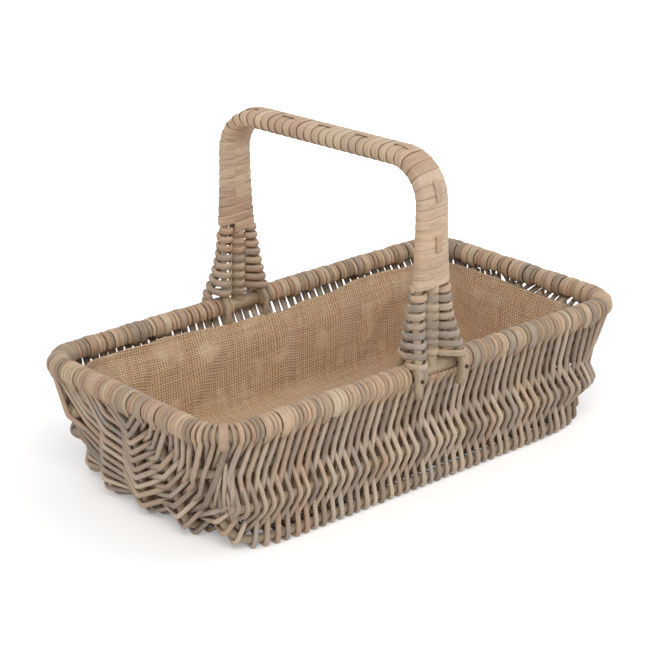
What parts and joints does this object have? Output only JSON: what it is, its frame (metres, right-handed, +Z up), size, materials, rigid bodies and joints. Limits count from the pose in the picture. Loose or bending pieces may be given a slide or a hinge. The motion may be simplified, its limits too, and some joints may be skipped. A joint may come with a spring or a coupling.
{
  "type": "trug garden basket",
  "caption": "Oblong woven willow trug with a fixed skein-bound arched handle and a sewn-in hessian liner.",
  "frame": {"origin": "middle of the basket on the floor it stands on", "axes": "+X along the basket, Y across it, +Z up; the picture's near long side is -Y"},
  "size_m": [0.5218, 0.2906, 0.3225],
  "materials": {
    "hoop_rod": "bark-brown willow rod, matt",
    "rim_willow": "warm tan lapped willow ends, matt",
    "weaver_willow": "washed grey-brown willow weavers, matt",
    "handle_rod": "stripped willow rods, matt",
    "skein": "flat willow skein, satin",
    "foot_willow": "fine willow, matt",
    "nail": "dark iron pins, dull",
    "hessian": "plain woven jute hessian",
    "thread": "pale jute sewing thread"
  },
  "bodies": {
    "root": {"rim_hoop": "hoop_rod", "rim_lapping_near": "rim_willow", "rim_lapping_far": "rim_willow", "rim_lapping_left_end": "rim_willow", "rim_lapping_right_end": "rim_willow", "upper_side_rib_near": "hoop_rod", "upper_side_rib_far": "hoop_rod", "lower_side_rib_near": "hoop_rod", "lower_side_rib_far": "hoop_rod", "base_edge_rib_near": "hoop_rod", "base_edge_rib_far": "hoop_rod", "base_rib_near": "hoop_rod", "base_rib_middle": "hoop_rod", "base_rib_far": "hoop_rod", "weavers_near_side": "weaver_willow", "weavers_far_side": "weaver_willow", "weavers_base": "weaver_willow", "weavers_base_turns": "weaver_willow", "weavers_left_end": "weaver_willow", "weavers_right_end": "weaver_willow", "handle_core": "handle_rod", "handle_side_rod_left": "handle_rod", "handle_side_rod_right": "handle_rod", "handle_inner_stakes": "handle_rod", "handle_binding": "skein", "handle_listing_strip": "skein", "foot_weaving_near": "foot_willow", "foot_weaving_far": "foot_willow", "foot_pins": "nail", "liner": "hessian", "liner_hem": "hessian", "liner_stitches": "thread"}
  },
  "joints": []
}
